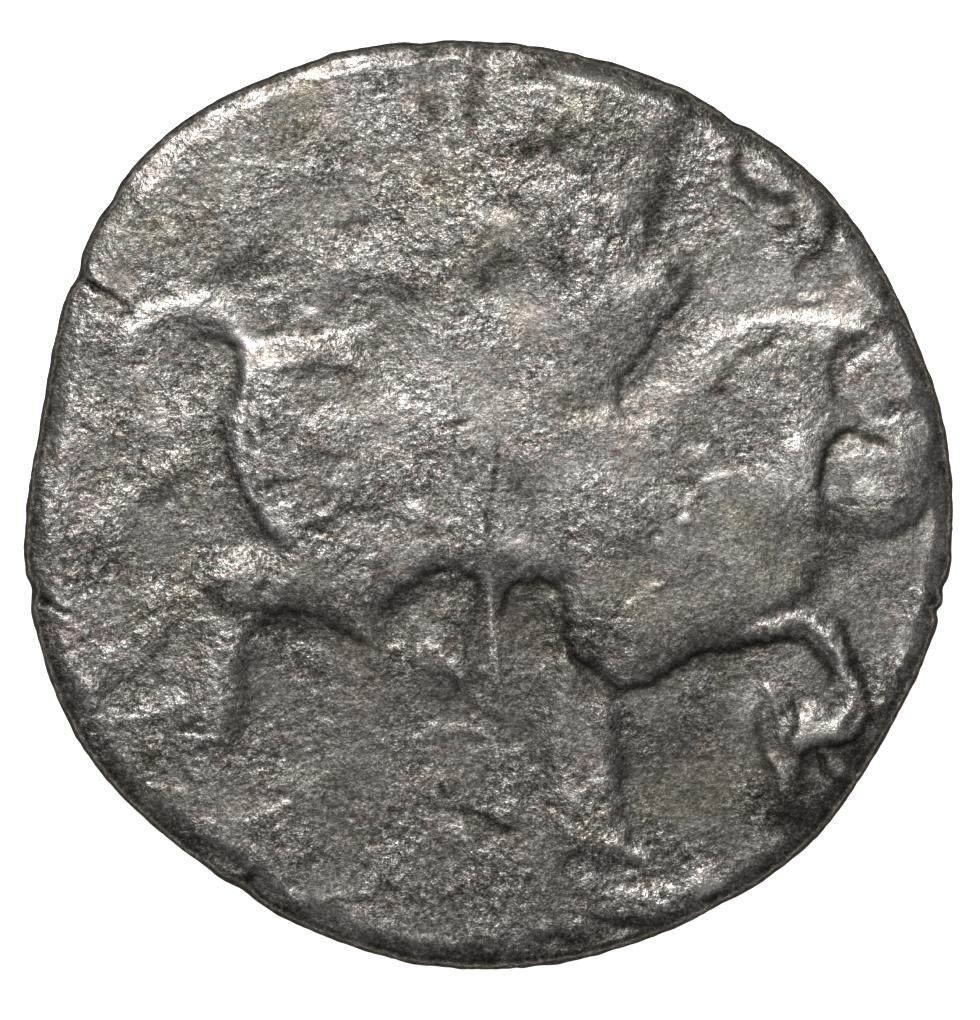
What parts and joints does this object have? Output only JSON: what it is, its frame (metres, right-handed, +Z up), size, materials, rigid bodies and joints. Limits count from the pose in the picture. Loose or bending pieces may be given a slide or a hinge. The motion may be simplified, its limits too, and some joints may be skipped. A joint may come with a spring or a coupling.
{
  "type": "silver coin",
  "caption": "Thick hand-struck silver coin with an uneven outline, a worn horse and rider in low relief on the upper face and a nearly plain underside.",
  "frame": {"origin": "on the plane the coin rests on, under the middle of the outline's bounding box", "axes": "+Z up through the thickness, out of the horse-and-rider face; +X the way the horse walks; +Y towards the top of the relief"},
  "size_m": [0.024, 0.024, 0.0028],
  "materials": {
    "silver": "dull grey tarnished silver, worn and finely corroded, with bright flecks and darker toning in the hollows"
  },
  "bodies": {
    "root": {"coin": "silver"}
  },
  "joints": []
}
